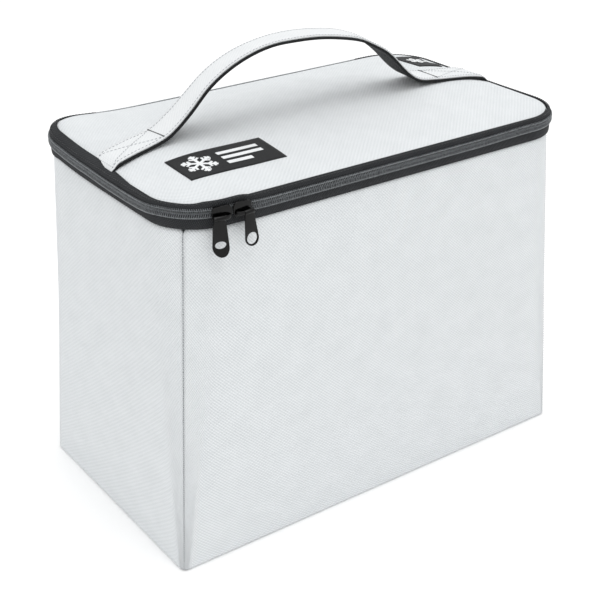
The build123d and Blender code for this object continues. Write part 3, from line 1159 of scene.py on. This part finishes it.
def bendWithHandle(obj, slot, *nodes):
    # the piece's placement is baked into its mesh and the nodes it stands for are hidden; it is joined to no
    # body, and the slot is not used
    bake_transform(obj)
    if nodes:
        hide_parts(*nodes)


def strapStrip(name, bottom, top, margins, crown, material):
    cells = strap["cells"]
    low, high = margins[0] / strap["wide"], 1 - margins[1] / strap["wide"]
    shares = [low + (high - low) * k / cells for k in range(cells + 1)]
    middle = (top + bottom) / 2
    sections = []
    for i in range(strap["steps"] + 1):
        section = []
        for k, share in enumerate(shares):
            section.append(strapPoint(i, share, top + crown * (1 - (2 * k / cells - 1) ** 2)))
        section.append(strapPoint(i, high + 0.008, middle))
        section += [strapPoint(i, share, bottom) for share in reversed(shares)]
        section.append(strapPoint(i, low - 0.008, middle))
        sections.append(section)
    count = 2 * cells + 4
    across = [(k if k <= cells else 2 * cells + 2 - k) * 3.2 * mm for k in range(count)]
    return sweep(name, sections, material, False, across, strapAt)


webbing = strapStrip("handle_strap_webbing", 0.0, strap["webbing"], (0.0, 0.0), 0.0, blackWebbing)
bendWithHandle(webbing, "black_webbing", "handle_webbing", "handle_webbing_ends")
coverTop = strap["webbing"] + strap["cover"]
coverStrip = strapStrip(
    "handle_strap_cover", strap["webbing"] + 0.02 * mm, coverTop, (1.1 * mm, 0.3 * mm), strap["rounding"],
    coverPolyester,
)
bendWithHandle(coverStrip, "white_polyester", "handle_cover", "handle_cover_ends")

print("stitches")
stitch = {"Pitch": 2.6 * mm, "Half length": 0.95 * mm, "Thread radius": 0.17 * mm}
stitchTrees = {
    "grey": repeatTree("stitch_row", greyThread, stitchUnit, stitch),
    "black": repeatTree("black_stitch_row", blackThread, stitchUnit, stitch),
    "seam": repeatTree("seam_stitch_row", seamThread, stitchUnit, stitch),
}


def stitchRow(name, lines, thread, **sizes):
    values = dict(stitch)
    for key, value in sizes.items():
        values[{"pitch": "Pitch", "half": "Half length", "radius": "Thread radius"}[key]] = value
    return runTree(pathObject(name, lines), stitchTrees[thread], values)


def cornerSeam(j):
    # one row runs along the seam, set a little back from its groove
    count = len(columns)
    line = []
    for i, z in enumerate(heights):
        if z < 3 * mm or z > bodyTop - 1.5 * mm:
            continue
        out = wallPoint(columns[j], 0, z)[1]
        line.append(skinPoints[i * count + j] - out * (walls["seamDepth"] - 0.02 * mm))
    return line


seamRow = stitchRow(
    "corner_seam_stitches", [cornerSeam(j) for j in seamColumns], "seam", pitch=1.6 * mm, half=0.45 * mm
)
carry(seamRow, "bag", "binding_tape")


def strapLine(first, last, shareA, shareB):
    made = []
    for i in range(first, last + 1):
        share = shareA + (shareB - shareA) * (i - first) / (last - first)
        swell = strap["rounding"] * (1 - (2 * share - 1) ** 2)
        made.append(strapPoint(i, share, coverTop + 0.12 * mm + swell))
    return made


def acrossStrap(i, low, high, cells, above):
    return [strapPoint(i, low + (high - low) * k / cells, coverTop + above) for k in range(cells + 1)]


def stepNear(x):
    # step of the strap nearest to a place along the bag, on the same side of the arch
    middle = len(strapFront) // 2
    found = range(middle) if x < 0 else range(middle, len(strapFront))
    return min(found, key=lambda i: abs((strapFront[i].x + strapBack[i].x) / 2 - x))


hem = strap["hemIn"] / strap["wide"]
leftEnd, leftIn = (stepNear(x) for x in strap["leftSewn"])
rightIn, rightEnd = (stepNear(x) for x in strap["rightSewn"])


def boxStitch(a, b):
    # box with a cross in it, where the strap is sewn to the lid
    low, high = hem + 0.02, 1 - hem - 0.02
    pairs = ((low, low), (high, high), (low, high), (high, low))
    return [strapLine(a, b, *pair) for pair in pairs] + [
        acrossStrap(i, low, high, 6, 0.4 * mm) for i in (a, b)
    ]


strapRows = stitchRow(
    "handle_stitches",
    [strapLine(leftIn, rightIn, hem, hem), strapLine(leftIn, rightIn, 1 - hem, 1 - hem)]
    + boxStitch(leftEnd, leftIn)
    + boxStitch(rightIn, rightEnd),
    "grey",
)
bendWithHandle(strapRows, "white_polyester")
tacks = stitchRow(
    "bar_tacks", [acrossStrap(i, hem, 1 - hem, 8, 0.42 * mm) for i in (leftIn, rightIn)], "black",
    pitch=0.7 * mm, half=0.5 * mm, radius=0.34 * mm,
)
bendWithHandle(tacks, "binding_tape")

# black stitches along both zip tapes
for name, body, out, z, shift in (
    ("lower_tape_stitches", "bag", 1.28 * mm, bodyTop + 1.2 * mm, chainShift),
    ("upper_tape_stitches", "lid", 0.75 * mm, lidEdge - 0.9 * mm, upperShift),
):
    line = []
    for i in range(401):
        s = zipStart + 2 * mm + (zipFinish - zipStart - 4 * mm) * i / 400
        extraOut, extraZ = shift(s, out, z)
        line.append(rimPoint(uAtLength(s), -(out + extraOut), z + extraZ)[0])
    carry(stitchRow(name, [line], "black", radius=0.22 * mm), body, "zip_tape")

print("labels")


label = {
    "above": 0.05 * mm,
    "thick": 0.5 * mm,
    "frontCells": (36, 18),
    "sideCells": (14, 22),
    "sideWave": 0.5 * mm,
    "thread": 0.16 * mm,
    "flakeAside": 20 * mm,
    "frontFlake": (12 * mm, 2.0 * mm),  # radius and bar width
    "sideFlake": (8 * mm, 1.8 * mm),
    "barLengths": (31 * mm, 31 * mm, 19 * mm),
    "barWide": 3.6 * mm,
    "barPitch": 7 * mm,
}


def lidPatch(name, node, cells, wave):
    # woven label that lies on the lid over a node's place
    low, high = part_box(node)
    nx, ny = cells
    verts, uvs = [], []
    for lift in (label["above"] + label["thick"], label["above"]):
        for j in range(ny + 1):
            for i in range(nx + 1):
                x = low.x + (high.x - low.x) * i / nx
                y = low.y + (high.y - low.y) * j / ny
                ripple = wave * math.sin(3 * math.pi * j / ny) * (i / nx)
                verts.append(onLid(x, y, lift + ripple))
                uvs.append((x, y))
    obj = outwardFaces(newObject(name, verts, slabFaces(nx, ny), blackDamask, uvs))
    carry(obj, "lid", "woven_label", node)
    return Vector(((low.x + high.x) / 2, (low.y + high.y) / 2))


def barCorners(a, b, width):
    # four corners of a straight bar between two points
    along = (b - a).normalized() * width / 2
    side = Vector((-along.y, along.x))
    return [a - side, b - side, b + side, a + side]


def snowflake(centre, radius, width):
    bars = []
    for k in range(6):
        angle = math.radians(60 * k + 30)
        out = Vector((math.cos(angle), math.sin(angle)))
        bars.append(barCorners(centre, centre + out * radius, width))
        for share, reach in ((0.48, 0.34), (0.74, 0.24)):
            root = centre + out * radius * share
            for lean in (-55, 55):
                turn = angle + math.radians(lean)
                branch = Vector((math.cos(turn), math.sin(turn)))
                bars.append(barCorners(root, root + branch * radius * reach, width * 0.8))
    return bars


def motif(name, bars, above):
    # raised threads: each bar is a thin slab that follows the label
    verts, faces, uvs = [], [], []
    for corners in bars:
        a, b, c, d = corners
        cells = max(int((b - a).length / (2.5 * mm)), 1)
        start = len(verts)
        for lift in (above + label["thread"], above - 0.05 * mm):
            for k in range(cells + 1):
                t = k / cells
                for p in (a.lerp(b, t), d.lerp(c, t)):
                    verts.append(onLid(p.x, p.y, lift))
                    uvs.append((p.x, p.y))
        half = 2 * (cells + 1)
        for k in range(cells):
            i = start + 2 * k
            faces.append((i, i + 2, i + 3, i + 1))
            faces.append((i + half, i + half + 1, i + half + 3, i + half + 2))
            faces.append((i, i + half, i + half + 2, i + 2))
            faces.append((i + 1, i + 3, i + half + 3, i + half + 1))
        faces.append((start, start + 1, start + half + 1, start + half))
        e = start + 2 * cells
        faces.append((e, e + half, e + half + 1, e + 1))
    obj = outwardFaces(newObject(name, verts, faces, whiteDamask, uvs, smoothShade=False))
    carry(obj, "lid", "woven_label")


middle = lidPatch("label_front", "front_label", label["frontCells"], 0.0)
bars = snowflake(middle - Vector((label["flakeAside"], 0)), *label["frontFlake"])
for row, length in enumerate(label["barLengths"]):
    start = middle + Vector((-3 * mm, (1 - row) * label["barPitch"]))
    bars.append(barCorners(start, start + Vector((length, 0)), label["barWide"]))
motif("label_front_motif", bars, 0.55 * mm)
middle = lidPatch("label_side", "side_label", label["sideCells"], label["sideWave"])
motif("label_side_motif", snowflake(middle, *label["sideFlake"]), 0.85 * mm)

print("sliders")
slider = {
    "half": 6.7 * mm,
    "nose": 4.9 * mm,
    "tail": 4.0 * mm,
    "lift": 1.9 * mm,
    "face": 4.1 * mm,  # inside face of the outer plate, out from the wall
    "plate": 1.1 * mm,
    "bar": 8.0 * mm,
}


def slabFrom(bm, outline, near, far, holes=()):
    # closed slab between two distances out from the wall; outline is in the wall's plane
    loops = [outline] + list(holes)
    front = [[bm.verts.new((x, -far, z)) for x, z in loop] for loop in loops]
    back = [[bm.verts.new((x, -near, z)) for x, z in loop] for loop in loops]
    for a, b in zip(front, back):
        count = len(a)
        for i in range(count):
            k = (i + 1) % count
            bm.faces.new((a[i], a[k], b[k], b[i]))
    for loopsOf in (front, back):
        if len(loopsOf) == 1:
            bm.faces.new(loopsOf[0])
        else:
            edges = []
            for loop in loopsOf:
                for i in range(len(loop)):
                    edges.append(bm.edges.get((loop[i], loop[(i + 1) % len(loop)])))
            bmesh.ops.triangle_fill(bm, edges=edges, use_beauty=True)


def finishMetal(name, bm, place, bevel, node):
    bmesh.ops.remove_doubles(bm, verts=bm.verts, dist=1e-6)
    bmesh.ops.recalc_face_normals(bm, faces=bm.faces)
    mesh = bpy.data.meshes.new(name)
    bm.to_mesh(mesh)
    bm.free()
    obj = linkMesh(name, mesh)
    mesh.materials.append(blackEnamel)
    rounding = obj.modifiers.new("Edges", "BEVEL")
    rounding.width = bevel
    rounding.segments = 3
    rounding.limit_method = "ANGLE"
    rounding.angle_limit = math.radians(40)
    rounding.harden_normals = False
    applyModifiers(obj)
    obj.data.transform(place)
    obj.data.polygons.foreach_set("use_smooth", [True] * len(obj.data.polygons))
    obj.data.update()
    carry(obj, node, "black_metal", node)


def skinRings(bm, rings):
    # skin over rings of points, with a cap at each end
    count = len(rings[0])
    for a, b in zip(rings, rings[1:]):
        for k in range(count):
            m = (k + 1) % count
            bm.faces.new((a[k], a[m], b[m], b[k]))
    bm.faces.new(rings[0])
    bm.faces.new(list(reversed(rings[-1])))


def tubeAlong(bm, points, halfWide, halfThick, sides=10):
    # rounded strap of metal along a curve in the x-y plane; wide in z
    sections = []
    for i, p in enumerate(points):
        a, b = points[max(i - 1, 0)], points[min(i + 1, len(points) - 1)]
        along = (b - a).normalized()
        normal = Vector((-along.y, along.x, 0))
        ring = []
        for k in range(sides):
            angle = 2 * math.pi * k / sides
            c, s = math.cos(angle), math.sin(angle)
            flat = 0.75
            ring.append(bm.verts.new(
                p + normal * halfThick * math.copysign(abs(c) ** flat, c)
                + Vector((0, 0, halfWide * math.copysign(abs(s) ** flat, s)))
            ))
        sections.append(ring)
    skinRings(bm, sections)


def makeSlider(name, place, sign, node):
    # outer and inner plates, a rail above and below the chain, and the bridge that the pull hangs on
    bm = bmesh.new()
    half, nose, tail = slider["half"], slider["nose"], slider["tail"]
    lower = [(-half, -tail), (-half * 0.1, -nose * 0.94), (half * 0.75, -nose), (half, -nose * 0.4)]
    outline = roundedProfile(lower + [(x, -z) for x, z in reversed(lower)], 2.0 * mm, 5)
    outline = [(sign * x, z) for x, z in outline]
    slabFrom(bm, outline, slider["face"], slider["face"] + slider["plate"])
    slabFrom(bm, [(sign * x * 0.8, z * 0.48) for x, z in outline], -0.7 * mm, 0.0)
    end = sign * half * 0.72
    for side in (1, -1):
        z0, z1 = side * 3.5 * mm, side * 4.2 * mm
        slabFrom(bm, [(-end, z0), (end, z0), (end, z1), (-end, z1)], 3.1 * mm, slider["face"] + 0.3 * mm)
    arch = []
    reach = 5.2 * mm
    base = slider["face"] + slider["plate"] - 0.4 * mm
    top = slider["bar"] + 0.35 * mm
    for i in range(17):
        angle = math.pi * i / 16
        x = -reach * math.cos(angle)
        y = base + (top - base) * math.sin(angle) ** 0.55
        arch.append(Vector((x, -y, -slider["lift"])))
    tubeAlong(bm, arch, 1.35 * mm, 0.55 * mm)
    finishMetal(name, bm, place, 0.3 * mm, node)


def makePull(name, place, node, size):
    # flat tab hung on the bridge: a loop at the top, a waist, and a round end with a hole
    bm = bmesh.new()
    bar = slider["bar"]
    drop, end, neck, shoulder = size["drop"], size["end"], size["neck"], size["shoulder"]
    tab = []
    for i in range(13):
        angle = math.pi + math.pi * i / 12
        tab.append((end * math.cos(angle), -drop + end * math.sin(angle)))
    side = [(shoulder, -6.0 * mm), (neck, -2.4 * mm), (neck, 0.6 * mm)]
    tab += side + [(-x, z) for x, z in reversed(side)]
    hole = []
    for i in range(28):
        angle = -2 * math.pi * i / 28
        x, z = size["hole"][0] * math.cos(angle), size["hole"][1] * math.sin(angle)
        hole.append((x, -drop + size["holeUp"] + z))
    slabFrom(bm, tab, bar - 0.6 * mm, bar + 0.6 * mm, [hole])
    for v in bm.verts:
        below = max(-(v.co.z + drop - size["lipFrom"]), 0) / (end + size["lipFrom"])
        v.co.y -= size["lip"] * below**1.6
    # eye round the bar
    rings = []
    for i in range(13):
        angle = math.radians(-150 + 300 * i / 12)
        out = Vector((0, -math.cos(angle), math.sin(angle)))
        p = Vector((0, -bar, 0)) + out * 1.25 * mm
        corners = ((-0.4 * mm, -neck), (0.4 * mm, -neck), (0.4 * mm, neck), (-0.4 * mm, neck))
        rings.append([bm.verts.new(p + out * a + Vector((b, 0, 0))) for a, b in corners])
    skinRings(bm, rings)
    bmesh.ops.rotate(bm, verts=bm.verts, matrix=Matrix.Rotation(math.radians(size["lean"]), 3, "Y"))
    finishMetal(name, bm, place, 0.26 * mm, node)


def sliderPlace(s, lift=0.0):
    u = uAtLength(s)
    p, out = rimPoint(u, 0, chainMiddle + lift)
    angle = math.atan2(out.x, -out.y)
    return Matrix.Translation(p) @ Matrix.Rotation(angle, 4, "Z")


makeSlider("slider_left", sliderPlace(zipper["leftSlider"], slider["lift"]), 1, "left_slider")
makeSlider("slider_right", sliderPlace(zipper["rightSlider"], slider["lift"]), -1, "right_slider")
leftPull = {
    "drop": 18.4 * mm,
    "end": 5.5 * mm,
    "hole": (3.7 * mm, 2.2 * mm),
    "neck": 3.8 * mm,
    "shoulder": 4.5 * mm,
    "holeUp": 1.2 * mm,
    "lip": 4.2 * mm,
    "lipFrom": 3.5 * mm,
    "lean": 0,
}
rightPull = {
    "drop": 18.2 * mm,
    "end": 4.9 * mm,
    "hole": (3.8 * mm, 3.9 * mm),
    "neck": 3.4 * mm,
    "shoulder": 3.7 * mm,
    "holeUp": 0.1 * mm,
    "lip": 0.8 * mm,
    "lipFrom": 2.0 * mm,
    "lean": -5,
}
makePull("pull_left", sliderPlace(zipper["leftPull"]), "left_pull", leftPull)
makePull("pull_right", sliderPlace(zipper["rightPull"]), "right_pull", rightPull)

print("stage")


def makeFloor():
    material, tree, shader = newMaterial("matt_white_floor", "#FFFFFF", 0.9)
    cloud = noiseAt(tree, objectVector(tree), 3.0)
    tree.links.new(ramp(tree, cloud, 0.3, 0.7, "#FDFDFD", "#FFFFFF"), shader.inputs["Base Color"])
    half = 6.0
    corners = [(x * half, y * half, 0) for x, y in ((-1, -1), (1, -1), (1, 1), (-1, 1))]
    newObject("floor", corners, [(0, 1, 2, 3)], material)


makeFloor()
studio = {
    "world": 1.03,
    "key": (0.15, -0.25, 2.3),
    "keyPower": 10,
    "keySize": 1.2,
    "spark": (-0.35, -1.3, 1.9),
    "sparkPower": 2.6,
    "sparkSize": 0.09,
    "azimuth": -35.67,
    "elevation": 27.19,
    "roll": -0.092,
    "distance": 0.96156,
    "lens": 74.935,
    "aside": -0.00516,
    "aloft": -0.00608,
    "aim": 0.125,
}
world = bpy.data.worlds.new("studio")
scene.world = world
world.use_nodes = True
world.node_tree.nodes["Background"].inputs["Color"].default_value = (1, 1, 1, 1)
world.node_tree.nodes["Background"].inputs["Strength"].default_value = studio["world"]


def areaLight(name, place, power, size):
    data = bpy.data.lights.new(name, "AREA")
    data.energy = power
    data.size = size
    obj = bpy.data.objects.new(name, data)
    scene.collection.objects.link(obj)
    obj.location = place
    obj.rotation_euler = (Vector((0, 0, 0.13)) - Vector(place)).to_track_quat("-Z", "Y").to_euler()
    return obj


areaLight("key", studio["key"], studio["keyPower"], studio["keySize"])
areaLight("spark", studio["spark"], studio["sparkPower"], studio["sparkSize"])


def makeCamera():
    az, el, roll = (math.radians(studio[k]) for k in ("azimuth", "elevation", "roll"))
    back = Vector((math.sin(az) * math.cos(el), -math.cos(az) * math.cos(el), math.sin(el)))
    level = Vector((0, 0, 1)).cross(back).normalized()
    upright = back.cross(level)
    right = level * math.cos(roll) + upright * math.sin(roll)
    up = upright * math.cos(roll) - level * math.sin(roll)
    place = back * studio["distance"] + right * studio["aside"] + up * studio["aloft"]
    place += Vector((0, 0, studio["aim"]))
    data = bpy.data.cameras.new("camera")
    data.lens = studio["lens"]
    data.sensor_width = 36
    data.clip_start = 0.05
    data.clip_end = 30
    obj = bpy.data.objects.new("camera", data)
    scene.collection.objects.link(obj)
    turn = Matrix((right, up, back)).transposed()
    obj.matrix_world = Matrix.Translation(place) @ turn.to_4x4()
    scene.camera = obj


makeCamera()
